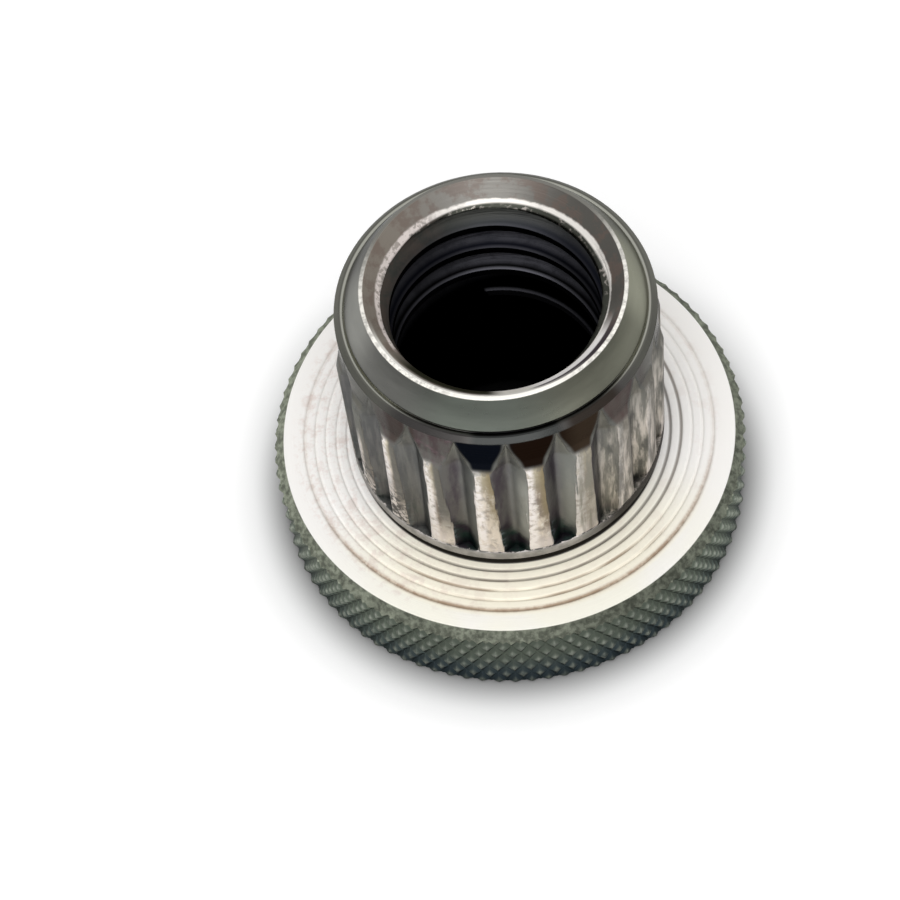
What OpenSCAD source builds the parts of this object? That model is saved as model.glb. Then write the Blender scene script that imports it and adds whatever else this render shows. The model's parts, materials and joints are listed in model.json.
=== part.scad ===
// Threaded insert, turned from one bar: a knurled flange, a barrel with pressed
// splines, a smooth conical nose and a tapped hole right through.
// The flange's flat underside is at z = 0 and the hole runs along Z.
// The bore is drawn at the thread's inside diameter.

/* [Hole] */
// Inside diameter of the tapped hole
bore_d = 6.7; // [5.6:0.1:7.4]
// Diameter of the countersink in the nose
mouth_d = 8.1; // [7.7:0.1:8.2]
// Diameter of the countersink in the underside
underside_sink_d = 8.2; // [7.7:0.1:9]
// Included angle of both countersinks
sink_angle = 90; // [80:5:120]

/* [Flange] */
// Diameter over the crests of the knurl
flange_d = 16; // [15:0.1:20]
// Thickness of the flange
flange_h = 3.3; // [2:0.1:5]
// Width of the bevel at the upper edge
edge_bevel_w = 0.4; // [0.2:0.05:0.6]
// Height of the bevel at the upper edge
edge_bevel_h = 0.4; // [0.2:0.05:0.6]
// Size of the small bevel at the lower edge
lower_bevel = 0.2; // [0.1:0.05:0.5]

/* [Knurl] */
// Number of diamonds round the edge
knurl_count = 90; // [60:2:120]
// Depth of the knurl
knurl_depth = 0.15; // [0.1:0.05:0.35]
// Angle of the knurl's grooves to the axis
knurl_angle = 30; // [25:1:45]

/* [Face rings] */
// Number of turned rings in the upper face
ring_count = 5; // [1:1:5]
// Radius of the innermost turned ring
ring_first_r = 5.45; // [5.4:0.01:5.55]
// Distance from one ring to the next
ring_step = 0.36; // [0.25:0.01:0.4]
// Width of a turned ring
ring_w = 0.12; // [0.06:0.01:0.16]
// Depth of a turned ring
ring_depth = 0.05; // [0.02:0.01:0.1]

/* [Barrel] */
// Height of the barrel, from the flange to its shoulder
barrel_h = 7.7; // [6:0.1:12]
// Diameter over the crests of the splines
crest_d = 10.5; // [10.3:0.1:10.8]
// Diameter of the plain end that leads the splines in
lead_d = 10.15; // [9.95:0.05:10.25]
// Length of the plain end, from the shoulder down
lead_h = 1.35; // [1:0.05:1.8]
// Height of the slope from the plain end up to the crests
crest_slope_h = 0.55; // [0.3:0.05:0.8]
// Bevel at the barrel's shoulder
shoulder_bevel = 0.15; // [0.05:0.05:0.2]
// Width of the relief groove at the barrel's foot
relief_w = 0.42; // [0.1:0.02:0.5]
// Depth of the relief groove at the barrel's foot
relief_depth = 0.1; // [0.04:0.02:0.2]

/* [Splines] */
// Number of splines
spline_count = 20; // [14:2:24]
// Included angle of the grooves between the splines
groove_angle = 102; // [80:2:110]
// Depth of a groove below the crests, at its deepest
groove_depth_top = 0.52; // [0.44:0.02:0.7]
// Depth of a groove below the crests, above its lower run-out
groove_depth_low = 0.44; // [0.3:0.02:0.5]
// Depth of a groove below the crests, where it ends
groove_depth_end = 0.4; // [0.1:0.02:0.42]
// Distance from the shoulder down to a groove's deepest point
groove_lead = 1.75; // [1:0.05:2]
// Height at which a groove's lower run-out starts
runout_h = 2; // [1:0.1:2.5]
// Height of the flat shelf that ends each groove
shelf_h = 0.84; // [0.6:0.02:1.2]

/* [Nose] */
// Height of the conical nose
nose_h = 1; // [0.6:0.1:2]
// Diameter of the nose at its foot
nose_base_d = 9.6; // [9.2:0.05:9.7]
// Diameter of the nose at its rim
rim_d = 8.34; // [8.24:0.02:8.8]
// Width of the fine groove round the nose's foot
notch_w = 0.12; // [0.06:0.02:0.2]
// Depth of the fine groove round the nose's foot
notch_depth = 0.1; // [0.04:0.02:0.16]

/* [Hidden] */
$fn = 96;
flange_r = flange_d / 2;
crest_r = crest_d / 2;
lead_r = lead_d / 2;
nose_base_r = nose_base_d / 2;
rim_r = rim_d / 2;
shoulder_z = flange_h + barrel_h;
rim_z = shoulder_z + nose_h;
lead_z = shoulder_z - lead_h;
crest_top_z = lead_z - crest_slope_h;
// Extra length by which a cutter passes the surface it cuts
past = 0.5;
// Sunk depth by which one body reaches into the next
root_in = 1;

// The knurl's grid: columns are half a diamond wide and rows half a diamond high
knurl_cols = 2 * knurl_count;
knurl_row_h = PI * flange_r / knurl_count / tan(knurl_angle);
knurl_rows = 2 * (ceil(flange_h / 2 / knurl_row_h) + 1);
knurl_z0 = flange_h / 2 - knurl_rows / 2 * knurl_row_h;

// The root of a spline groove, from the barrel's shoulder down, as [radius, height]
groove_root = [
    [lead_r, shoulder_z - shoulder_bevel],
    [crest_r - groove_depth_top, shoulder_z - groove_lead],
    [crest_r - groove_depth_low, flange_h + runout_h],
    [crest_r - groove_depth_end, flange_h + shelf_h]
];

// Section of the flange without its knurl
module flange_section() {
    outer = flange_r + knurl_depth / 4;
    polygon([
        [0, 0],
        [flange_r - lower_bevel, 0],
        [outer, lower_bevel + knurl_depth / 4],
        [outer, flange_h - edge_bevel_h * (1 + knurl_depth / 4 / edge_bevel_w)],
        [flange_r - edge_bevel_w, flange_h],
        [0, flange_h]
    ]);
}

// Section of the barrel and the nose, which starts inside the flange
module barrel_section() {
    polygon([
        [0, flange_h - root_in],
        [crest_r - relief_depth, flange_h - root_in],
        [crest_r - relief_depth, flange_h + relief_w],
        [crest_r, flange_h + relief_w],
        [crest_r, crest_top_z],
        [lead_r, lead_z],
        [lead_r, shoulder_z - shoulder_bevel],
        [lead_r - shoulder_bevel, shoulder_z],
        [nose_base_r, shoulder_z],
        [nose_base_r - notch_depth, shoulder_z - notch_w / 2],
        [nose_base_r - notch_depth / 2, shoulder_z + notch_w / 2],
        [rim_r, rim_z],
        [0, rim_z]
    ]);
}

// A peak in every second place of the grid, so each diamond is a low pyramid
function knurl_r(col, row) = flange_r - ((col + row) % 2 == 0 ? 0 : knurl_depth);

// A solid sleeve whose outside is the diamond knurl, taller than the flange
module knurl_sleeve() {
    points = [
        for (row = [0 : knurl_rows], col = [0 : knurl_cols - 1])
            let (turn = 360 * col / knurl_cols, r = knurl_r(col, row))
            [r * cos(turn), r * sin(turn), knurl_z0 + row * knurl_row_h]
    ];
    function at(col, row) = row * knurl_cols + (col % knurl_cols);
    // Each grid cell is split along its valley, from one low corner to the other
    faces = [
        for (row = [0 : knurl_rows - 1], col = [0 : knurl_cols - 1])
            let (a = at(col, row), b = at(col + 1, row), c = at(col + 1, row + 1), d = at(col, row + 1))
            each (col + row) % 2 == 0 ? [[a, d, b], [b, d, c]] : [[a, c, b], [a, d, c]]
    ];
    low_cap = [for (col = [0 : knurl_cols - 1]) at(col, 0)];
    high_cap = [for (col = [knurl_cols - 1 : -1 : 0]) at(col, knurl_rows)];
    polyhedron(points, concat([low_cap, high_cap], faces));
}

// The flange: its turned blank, cut to the knurl all round
module flange() {
    intersection() {
        rotate_extrude() flange_section();
        knurl_sleeve();
    }
}

// Fine V-shaped rings turned in the flange's upper face
module face_rings() {
    for (i = [0 : ring_count - 1])
        rotate_extrude()
            translate([ring_first_r + i * ring_step, flange_h])
                polygon([[-ring_w / 2, ring_w], [-ring_w / 2, 0], [0, -ring_depth], [ring_w / 2, 0],
                    [ring_w / 2, ring_w]]);
}

// A long V-shaped prism that opens outwards, with its root on the line through two points
module groove_prism(low, high) {
    reach = crest_r;
    length = 3 * barrel_h;
    translate([low[0], 0, low[1]])
        rotate([0, atan2(high[0] - low[0], high[1] - low[1]), 0])
            translate([0, 0, -length / 2])
                linear_extrude(height = length)
                    polygon([[0, 0], [reach, -reach * tan(groove_angle / 2)], [reach, reach * tan(groove_angle / 2)]]);
}

// One groove: what its prisms have in common, above the shelf that ends it
module groove() {
    intersection() {
        intersection_for (i = [0 : len(groove_root) - 2])
            groove_prism(groove_root[i + 1], groove_root[i]);
        translate([0, -crest_r, flange_h + shelf_h])
            cube([2 * crest_r, 2 * crest_r, barrel_h]);
    }
}

module splined_barrel() {
    difference() {
        rotate_extrude() barrel_section();
        for (i = [0 : spline_count - 1])
            rotate([0, 0, (i + 0.5) * 360 / spline_count]) groove();
    }
}

// A countersink that opens downwards from the origin
module countersink(d) {
    h = (d - bore_d) / 2 / tan(sink_angle / 2);
    translate([0, 0, -past])
        cylinder(d = d, h = past);
    cylinder(d1 = d, d2 = bore_d, h = h);
}

module insert_body() {
    color([0.80, 0.79, 0.74])
    difference() {
        union() {
            flange();
            splined_barrel();
        }
        face_rings();
        translate([0, 0, -past])
            cylinder(d = bore_d, h = rim_z + 2 * past);
        countersink(underside_sink_d);
        translate([0, 0, rim_z]) mirror([0, 0, 1]) countersink(mouth_d);
    }
}

insert_body();
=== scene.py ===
import json
import math
import bpy
import numpy as np
from mathutils import Matrix, Vector


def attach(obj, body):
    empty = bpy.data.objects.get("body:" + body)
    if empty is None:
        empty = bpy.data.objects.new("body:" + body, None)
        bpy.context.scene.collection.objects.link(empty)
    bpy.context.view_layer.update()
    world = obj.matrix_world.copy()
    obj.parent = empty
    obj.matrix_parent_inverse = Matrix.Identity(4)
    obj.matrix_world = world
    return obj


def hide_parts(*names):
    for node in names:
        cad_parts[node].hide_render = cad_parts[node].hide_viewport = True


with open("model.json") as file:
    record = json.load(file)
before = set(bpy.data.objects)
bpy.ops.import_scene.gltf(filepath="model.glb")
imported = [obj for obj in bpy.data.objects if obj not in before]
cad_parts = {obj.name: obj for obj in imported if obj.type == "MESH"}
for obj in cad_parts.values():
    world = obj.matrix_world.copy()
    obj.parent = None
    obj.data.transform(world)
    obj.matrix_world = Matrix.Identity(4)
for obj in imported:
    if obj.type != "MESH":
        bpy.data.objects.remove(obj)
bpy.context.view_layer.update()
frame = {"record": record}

bl_info = {
    "name": "Threaded insert",
    "version": (1, 0, 0),
    "blender": (4, 5, 0),
    "location": "View3D > Sidebar > Insert",
    "description": "Makes a flanged, splined and tapped metal insert with its finish and its studio",
    "category": "Add Mesh",
}

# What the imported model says
CAD_NODE = "insert_body"
BODY = "root"
THREAD = next(m for m in frame["record"]["mounts"] if m["name"] == "thread")

# Units: lengths are worked out in millimetres and written to the mesh in metres
MM = 0.001
TAU = 2 * math.pi


# Sizes and colours that a user would change

def length(name, description, millimetres):
    """A length, in millimetres."""
    return bpy.props.FloatProperty(
        name=name, description=description, default=millimetres * MM, min=0.0, precision=5, unit="LENGTH"
    )


def angle(name, description, degrees):
    """An angle, in degrees."""
    turn = math.radians(degrees)
    return bpy.props.FloatProperty(name=name, description=description, default=turn, subtype="ANGLE")


def number(name, description, value):
    """A plain number."""
    return bpy.props.FloatProperty(name=name, description=description, default=value)


def count(name, description, value, least):
    """A whole number, with the least that it may be."""
    return bpy.props.IntProperty(name=name, description=description, default=value, min=least)


def colour(name, description, value):
    """A colour property, in linear light."""
    return bpy.props.FloatVectorProperty(
        name=name, description=description, default=value, min=0.0, max=1.0, size=3, subtype="COLOR"
    )


class InsertSizes(bpy.types.PropertyGroup):
    flange_d: length("Flange", "Diameter over the knurl's crests", 16.0)
    flange_h: length("Flange height", "Thickness of the flange", 3.3)
    edge_bevel: length("Edge bevel", "Size of the flange's upper bevel", 0.4)
    lower_bevel: length("Lower bevel", "Size of the flange's lower bevel", 0.2)
    knurl_count: count("Diamonds", "Diamonds round the flange", 90, 30)
    knurl_depth: length("Knurl depth", "Depth of the knurl's grooves", 0.15)
    knurl_angle: angle("Knurl angle", "Angle of the knurl's grooves to the axis", 30)
    ring_first_r: length("First ring", "Radius of the innermost ring in the flange's face", 5.45)
    ring_step: length("Ring step", "Distance from one ring to the next", 0.36)
    ring_w: length("Ring width", "Width of a turned ring", 0.12)
    ring_depth: length("Ring depth", "Depth of a turned ring", 0.05)
    ring_count: count("Rings", "Rings in the flange's face", 5, 0)
    barrel_h: length("Barrel height", "From the flange to the barrel's shoulder", 7.7)
    crest_d: length("Crests", "Diameter over the splines", 10.5)
    lead_d: length("Lead", "Diameter of the plain end", 10.15)
    lead_h: length("Lead length", "Length of the plain end", 1.35)
    crest_slope_h: length("Crest slope", "Height of the slope up to the crests", 0.55)
    shoulder_bevel: length("Shoulder bevel", "Bevel at the barrel's shoulder", 0.15)
    relief_w: length("Relief width", "Width of the groove at the barrel's foot", 0.42)
    relief_depth: length("Relief depth", "Depth of the groove at the barrel's foot", 0.1)
    spline_count: count("Splines", "Splines round the barrel", 20, 6)
    groove_angle: angle("Groove angle", "Included angle of the grooves", 102)
    groove_depth_top: length("Groove depth", "Deepest depth below the crests", 0.52)
    groove_depth_low: length("Groove depth, low", "Depth above the lower run-out", 0.44)
    groove_depth_end: length("Groove depth, end", "Depth where the groove ends", 0.4)
    groove_lead: length("Groove lead", "From the shoulder down to the deepest point", 1.75)
    runout_h: length("Run-out height", "Where a groove's lower run-out starts", 2.0)
    shelf_h: length("Shelf height", "Height of the shelf that ends each groove", 0.84)
    nose_h: length("Nose height", "Height of the conical nose", 1.0)
    nose_d: length("Nose foot", "Diameter of the nose at its foot", 9.6)
    rim_d: length("Rim", "Outer diameter of the nose's rim", 8.34)
    notch_w: length("Notch width", "Width of the fine groove round the nose", 0.12)
    notch_depth: length("Notch depth", "Depth of the fine groove round the nose", 0.1)
    mouth_d: length("Mouth", "Diameter of the countersink in the nose", 8.1)
    underside_sink_d: length("Underside countersink", "Diameter of the countersink underneath", 8.2)
    thread_d: length("Thread", "Outside diameter of the thread", 8.0)
    thread_pitch: length("Pitch", "Pitch of the thread", 1.25)
    ring_r: length("Ring in the mouth", "Radius of the bright edge where the thread starts", 3.58)
    ring_drop: length("Ring depth in the mouth", "From the rim down to that edge", 0.5)
    thread_phase: number("Thread start", "Where round the hole the thread starts, in turns", 0.569)


class InsertFinish(bpy.types.PropertyGroup):
    face: colour("Turned face", "Bright turned face of the flange", (0.99, 0.97, 0.94))
    crest: colour("Crests", "Bright mottled crests of the splines", (0.74, 0.66, 0.56))
    groove: colour("Grooves", "Grey flanks of the grooves", (0.23, 0.235, 0.22))
    # The lead's dark colour is a painted dark reflection
    lead: colour("Lead", "Dark burnished end of the barrel", (0.011, 0.006, 0.004))
    nose: colour("Nose", "Satin nose", (0.178, 0.180, 0.142))
    knurl: colour("Knurl", "Dark grey-green knurl", (0.085, 0.10, 0.08))
    sink: colour("Countersink", "Brown-grey countersink", (0.25, 0.24, 0.22))
    thread: colour("Thread", "Dark flanks of the thread", (0.008, 0.009, 0.015))


class InsertStudio(bpy.types.PropertyGroup):
    focal_px: number("Focal length", "The camera's focal length, in pixels of its square frame", 2650.0)
    elevation: angle("Elevation", "The camera's height above the horizon", 59.67)
    roll: angle("Roll", "The camera's roll", -8.31)
    azimuth: angle("Azimuth", "The camera's turn about the insert, which lines up the splines", -4.8)
    distance: length("Distance", "From the camera to the flange's upper face", 89.3)
    target_x: number("Target across", "The flange centre's place across the frame, in pixels", 508.15)
    target_y: number("Target down", "The flange centre's place down the frame, in pixels", 427.06)
    floor: colour("Floor", "Pale floor", (0.88, 0.88, 0.88))
    floor_glow: number("Floor lift", "How far the floor is lifted to white where it is seen", 0.22)
    sky: colour("Sky", "The sky overhead", (0.70, 0.70, 0.70))
    horizon: colour("Horizon", "The sky at the horizon", (0.42, 0.42, 0.42))


# Geometry: one closed skin, built ring by ring along the section

class Skin:
    """The points and faces of one closed surface, in millimetres. Points in the same place are one point."""

    WELD = 1e-5

    def __init__(self):
        self.index = {}
        self.points = []
        self.faces = []

    def ring(self, turns, radii, heights):
        """A ring of points at those turns, radii and heights: the indices of its points."""
        across = np.cos(turns) * radii
        along = np.sin(turns) * radii
        up = np.broadcast_to(heights, np.shape(turns))
        return [self.point(*spot) for spot in zip(across, along, up)]

    def point(self, *spot):
        """The index of the point there, a new one where there was none."""
        key = tuple(round(value / self.WELD) for value in spot)
        if key not in self.index:
            self.index[key] = len(self.points)
            self.points.append(spot)
        return self.index[key]

    def face(self, *corners):
        """A face, unless its corners fall together."""
        kept = [c for i, c in enumerate(corners) if c != corners[i - 1]]
        if len(set(kept)) == len(kept) >= 3:
            self.faces.append(kept)

    def strip(self, low, high, split=None):
        """Faces between two rings of the same count. split says which diagonal cuts a face, if any."""
        count = len(low)
        for i in range(count):
            k = (i + 1) % count
            cut = split(i) if split else 0
            if cut > 0:
                self.face(low[i], low[k], high[k])
                self.face(low[i], high[k], high[i])
            elif cut < 0:
                self.face(low[i], low[k], high[i])
                self.face(low[k], high[k], high[i])
            else:
                self.face(low[i], low[k], high[k], high[i])

    def stitch(self, low, low_turns, high, high_turns):
        """Triangles between two rings whose points lie at different turns."""
        i = k = 0
        while i < len(low) or k < len(high):
            next_low = low_turns[i + 1] if i + 1 < len(low) else TAU + low_turns[0]
            next_high = high_turns[k + 1] if k + 1 < len(high) else TAU + high_turns[0]
            a, b = low[i % len(low)], high[k % len(high)]
            if k == len(high) or (i < len(low) and next_low <= next_high):
                self.face(a, low[(i + 1) % len(low)], b)
                i += 1
            else:
                self.face(a, high[(k + 1) % len(high)], b)
                k += 1

    def mesh(self, name, crease):
        """The mesh in metres, smooth but for edges sharper than the crease angle."""
        data = bpy.data.meshes.new(name)
        data.from_pydata([tuple(value * MM for value in spot) for spot in self.points], [], self.faces)
        data.validate()
        data.shade_smooth()
        data.set_sharp_from_angle(angle=crease)
        return data


def soft_min(a, b, soft):
    """The lower of two heights, with the corner between them rounded."""
    return 0.5 * (a + b - np.sqrt((a - b) ** 2 + soft ** 2))


def soft_max(a, b, soft):
    """The higher of two heights, with the corner between them rounded."""
    return -soft_min(-np.asarray(a), -np.asarray(b), soft)


def rounded(path, radius, steps=3, share=0.45):
    """A path of (r, z) points with each inner corner a short curve, over up to that share of a side."""
    out = [path[0]]
    for before, here, after in zip(path, path[1:], path[2:]):
        before, here, after = (np.array(p, float) for p in (before, here, after))
        into, away = here - before, after - here
        reach = min(radius, share * np.linalg.norm(into), share * np.linalg.norm(away))
        start = here - into / np.linalg.norm(into) * reach
        end = here + away / np.linalg.norm(away) * reach
        for t in np.linspace(0, 1, steps + 1):
            out.append((1 - t) ** 2 * start + 2 * t * (1 - t) * here + t ** 2 * end)
    out.append(path[-1])
    return out


class Shape:
    """The insert's surfaces as functions of turn and height, in millimetres."""

    # Columns of a plain ring, columns of a diamond, and heights tried down a bevel
    ROUND_COLS = 180
    KNURL_CELLS = 8
    BEVEL_STEPS = 80
    # Share of a diamond's height at which its small flat lies
    KNURL_FLAT = 0.85
    # Roundings, from the finest to that of a groove's root
    FINE_R = 0.02
    SOFT_R = 0.03
    EDGE_R = 0.04
    ROOT_R = 0.1
    # Roundings of a groove's root and edges where it is shallow, as shares of its depth
    SHALLOW_ROOT = 0.3
    SHALLOW_EDGE = 0.15
    # Least and most that a groove opens: half its angle, and a share of the pitch
    LEAST_HALF_TURN = math.radians(0.25)
    MOST_SHARE = 0.92
    # Shares of a land's and a groove's half width at which columns stand
    LAND_COLS = (0.0, 0.45, 0.8, 0.95)
    GROOVE_COLS = (0.0, 0.1, 0.24, 0.42, 0.62, 0.8, 0.92, 1.0)
    # Rows of the barrel between its stops, two of which lie beside the crests' slope
    BARREL_ROWS = (10, 7, 12, 10)
    BELOW_SLOPE = 0.3
    ABOVE_SLOPE = 0.25
    # The thread: rows in a turn, a flank's angle, and how steeply it opens below the ring
    THREAD_ROWS = 20
    THREAD_FLANK = math.radians(30)
    START_SLOPE = 1.3
    # Height of the plain rows at each end of the hole, and the distance between them
    END_H = 0.95
    END_STEP = 0.04
    # Distances of plain rings from the edges beside them
    NEAR_BEVEL = 0.05
    NEAR_SHOULDER = 0.02
    NEAR_SINK = 0.3
    NEAR_KNURL = 0.1

    def __init__(self, sizes):
        """Takes over every size, and the radius that goes with each diameter."""
        for key in sizes.__annotations__:
            value = getattr(sizes, key)
            if sizes.bl_rna.properties[key].unit == "LENGTH":
                value /= MM
            setattr(self, key, value)
            if key.endswith("_d"):
                setattr(self, key[:-1] + "r", value / 2)
        self.bore_r = THREAD["dims"]["r_mm"]
        self.shoulder_z = self.flange_h + self.barrel_h
        self.rim_z = self.shoulder_z + self.nose_h
        self.shelf_z = self.flange_h + self.shelf_h
        self.lead_z = self.shoulder_z - self.lead_h
        self.crest_z = self.lead_z - self.crest_slope_h
        self.lands_end_z = self.shoulder_z - self.shoulder_bevel
        self.row_h = math.pi * self.flange_r / self.knurl_count / math.tan(self.knurl_angle)
        self.pitch_turn = TAU / self.spline_count
        self.round_turns = np.arange(self.ROUND_COLS) * TAU / self.ROUND_COLS

    def knurl_r(self, turns, z):
        """Two families of V grooves that cross and leave diamonds with small flats."""
        across = turns * self.knurl_count / TAU
        along = (z - self.flange_h / 2) / (2 * self.row_h)
        rising = np.abs(2 * np.mod(across + along, 1) - 1)
        falling = np.abs(2 * np.mod(across - along, 1) - 1)
        height = np.minimum(np.minimum(rising, falling) / self.KNURL_FLAT, 1)
        return self.flange_r - self.knurl_depth * (1 - height)

    def bevel_z(self, turns, upper):
        """The height and the radius at which a bevel of the flange cuts the knurl at each turn."""
        size = self.edge_bevel if upper else self.lower_bevel
        depth = np.linspace(0, size, self.BEVEL_STEPS)[:, None]
        heights = self.flange_h - depth if upper else depth
        bevel = self.flange_r - size + depth
        inside = bevel >= self.knurl_r(turns[None, :], heights)
        first = np.argmax(inside, axis=0)
        first[~inside.any(axis=0)] = len(depth) - 1
        cut = depth[first, 0]
        return (self.flange_h - cut if upper else cut), self.flange_r - size + cut

    def blank_r(self, z):
        """The barrel before its grooves: crests, the slope and the plain lead."""
        return np.interp(z, [self.crest_z, self.lead_z], [self.crest_r, self.lead_r])

    def root_r(self, z):
        """The bottom of a groove: a short slope at the top, a long one, and a run-out at the foot."""
        spots = [
            (self.lead_r, self.lands_end_z),
            (self.crest_r - self.groove_depth_top, self.shoulder_z - self.groove_lead),
            (self.crest_r - self.groove_depth_low, self.flange_h + self.runout_h),
            (self.crest_r - self.groove_depth_end, self.shelf_z),
        ]
        lines = [r0 + (z - z0) * (r1 - r0) / (z1 - z0) for (r0, z0), (r1, z1) in zip(spots, spots[1:])]
        low = soft_max(lines[1], lines[2], self.EDGE_R)
        return soft_max(low, lines[0], self.FINE_R)

    def groove_half_turn(self, z):
        """Half the angle that a groove opens at the surface of the blank."""
        steep = 1 / math.tan(self.groove_angle / 2)
        lean = math.atan(steep)
        share = np.clip(self.root_r(z) / (self.blank_r(z) * math.hypot(1, steep)), -1, 1)
        widest = self.MOST_SHARE * self.pitch_turn / 2
        return np.clip(np.arccos(share) - lean, self.LEAST_HALF_TURN, widest)

    def barrel_turns(self, z):
        """Columns round the barrel that follow the edges of the lands and the grooves."""
        groove = self.groove_half_turn(z)
        land = self.pitch_turn / 2 - groove
        from_land = [share * land for share in self.LAND_COLS]
        from_groove = [self.pitch_turn / 2 - share * groove for share in reversed(self.GROOVE_COLS)]
        right = from_land + from_groove
        left = [self.pitch_turn - turn for turn in reversed(right[1:-1])]
        one = np.array(right + left)
        return np.concatenate([one + i * self.pitch_turn for i in range(self.spline_count)])

    def barrel_radii(self, turns, z):
        """The lower of the blank and the rounded V groove at each turn."""
        from_middle = np.mod(turns, self.pitch_turn) - self.pitch_turn / 2
        blank = self.blank_r(z)
        steep = 1 / math.tan(self.groove_angle / 2)
        away = blank * np.sin(from_middle)
        depth = np.maximum(blank - self.root_r(z), 0)
        wall = np.hypot(away, np.minimum(self.ROOT_R, self.SHALLOW_ROOT * depth)) * steep
        cut = (self.root_r(z) + wall) / np.cos(from_middle)
        return soft_min(blank, cut, np.minimum(self.SOFT_R, self.SHALLOW_EDGE * depth))

    def hole_r(self, turns, z):
        """The thread's wall, opened by a countersink at each end."""
        # The crest's flat is a quarter of the pitch wide
        crest_half = self.thread_pitch / 8
        place = np.mod(z / self.thread_pitch - turns / TAU + self.thread_phase, 1)
        from_crest = np.abs(place - 0.5) * self.thread_pitch
        flank = self.bore_r + (from_crest - crest_half) / math.tan(self.THREAD_FLANK)
        thread = soft_max(soft_min(flank, self.thread_r, self.SOFT_R), self.bore_r, self.SOFT_R)
        start = self.ring_r + np.maximum(self.rim_z - self.ring_drop - z, 0) * self.START_SLOPE
        thread = soft_min(thread, start, self.SOFT_R)
        mouth = self.mouth_r - (self.rim_z - z)
        under = self.underside_sink_r - z
        return soft_max(soft_max(thread, mouth, self.FINE_R), under, self.FINE_R)


def add_path(skin, shape, path, last, last_turns):
    """Rings of the common count along a path of (r, z) points, joined on to the last ring."""
    turns = shape.round_turns
    for r, z in path:
        ring = skin.ring(turns, r, z)
        if len(last) == len(ring):
            skin.strip(last, ring)
        else:
            skin.stitch(last, last_turns, ring, turns)
        last, last_turns = ring, turns
    return last


def add_knurl(skin, shape, last):
    """The flange's knurled edge between its two bevels. It starts at the underside's last ring."""
    cells = shape.KNURL_CELLS
    turns = np.arange(shape.knurl_count * cells) * TAU / (shape.knurl_count * cells)
    low_z, low_r = shape.bevel_z(turns, upper=False)
    high_z, high_r = shape.bevel_z(turns, upper=True)
    edge = skin.ring(turns, shape.flange_r - shape.lower_bevel, 0)
    skin.stitch(last, shape.round_turns, edge, turns)
    step = 2 * shape.row_h / cells
    reach = math.ceil(shape.flange_h / 2 / step)
    last = skin.ring(turns, low_r, low_z)
    skin.strip(edge, last)
    half = cells // 2
    for k in range(-reach, reach + 1):
        z = np.clip(shape.flange_h / 2 + k * step, low_z, high_z)
        radii = shape.knurl_r(turns, z)
        radii = np.where(z <= low_z, low_r, np.where(z >= high_z, high_r, radii))
        ring = skin.ring(turns, radii, z)

        def along_valley(i, row=k - 1):
            """A face is cut along the valley that crosses it."""
            return 1 if (i - row) % cells == half else (-1 if (i + row + 1) % cells == half else 0)

        skin.strip(last, ring, along_valley)
        last = ring
    top = skin.ring(turns, shape.flange_r - shape.edge_bevel, shape.flange_h)
    skin.strip(last, top)
    return top, turns


def face_path(shape):
    """The flange's upper face from the bevel to the barrel's foot, with its turned rings."""
    path = [(shape.flange_r - shape.edge_bevel - shape.NEAR_BEVEL, shape.flange_h)]
    half = shape.ring_w / 2
    for i in reversed(range(shape.ring_count)):
        r = shape.ring_first_r + i * shape.ring_step
        floor = shape.flange_h - shape.ring_depth
        path += [(r + half, shape.flange_h), (r, floor), (r - half, shape.flange_h)]
    foot = shape.crest_r - shape.relief_depth
    relief_z = shape.flange_h + shape.relief_w
    path += [(foot, shape.flange_h), (foot, relief_z), (shape.crest_r, relief_z)]
    path.append((shape.crest_r, shape.shelf_z - shape.EDGE_R))
    return rounded(path, shape.EDGE_R)


def add_barrel(skin, shape, last, last_turns):
    """The splined barrel from the shelf up to its shoulder."""
    stops = [
        shape.shelf_z,
        shape.flange_h + shape.runout_h,
        shape.crest_z - shape.BELOW_SLOPE,
        shape.lead_z + shape.ABOVE_SLOPE,
        shape.lands_end_z,
    ]
    heights = [shape.shelf_z]
    for low, high, rows in zip(stops, stops[1:], shape.BARREL_ROWS):
        heights.extend(np.linspace(low, high, rows + 1)[1:])
    # The shelf's outer edge is a small bevel
    turns = shape.barrel_turns(shape.shelf_z)
    inset = 0.3 * shape.EDGE_R
    outer = skin.ring(turns, shape.crest_r - inset, shape.shelf_z - inset)
    skin.stitch(last, last_turns, outer, turns)
    last = skin.ring(turns, shape.crest_r - shape.EDGE_R, shape.shelf_z)
    skin.strip(outer, last)
    for z in heights:
        turns = shape.barrel_turns(z)
        radii = shape.barrel_radii(turns, z)
        if z == shape.shelf_z:
            radii = np.minimum(radii, shape.crest_r - shape.EDGE_R)
        ring = skin.ring(turns, radii, z)
        skin.strip(last, ring)
        last = ring
    bevel = skin.ring(turns, shape.lead_r - shape.shoulder_bevel, shape.shoulder_z)
    skin.strip(last, bevel)
    return bevel, turns


def nose_path(shape):
    """The shoulder's flat, the fine notch, the cone and the rim."""
    path = [
        (shape.lead_r - shape.shoulder_bevel - shape.NEAR_SHOULDER, shape.shoulder_z),
        (shape.nose_r, shape.shoulder_z),
        (shape.nose_r - shape.notch_depth, shape.shoulder_z - shape.notch_w / 2),
        (shape.nose_r - shape.notch_depth / 2, shape.shoulder_z + shape.notch_w / 2),
        (shape.rim_r, shape.rim_z),
        (shape.mouth_r, shape.rim_z),
    ]
    return rounded(path, shape.EDGE_R)


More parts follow.
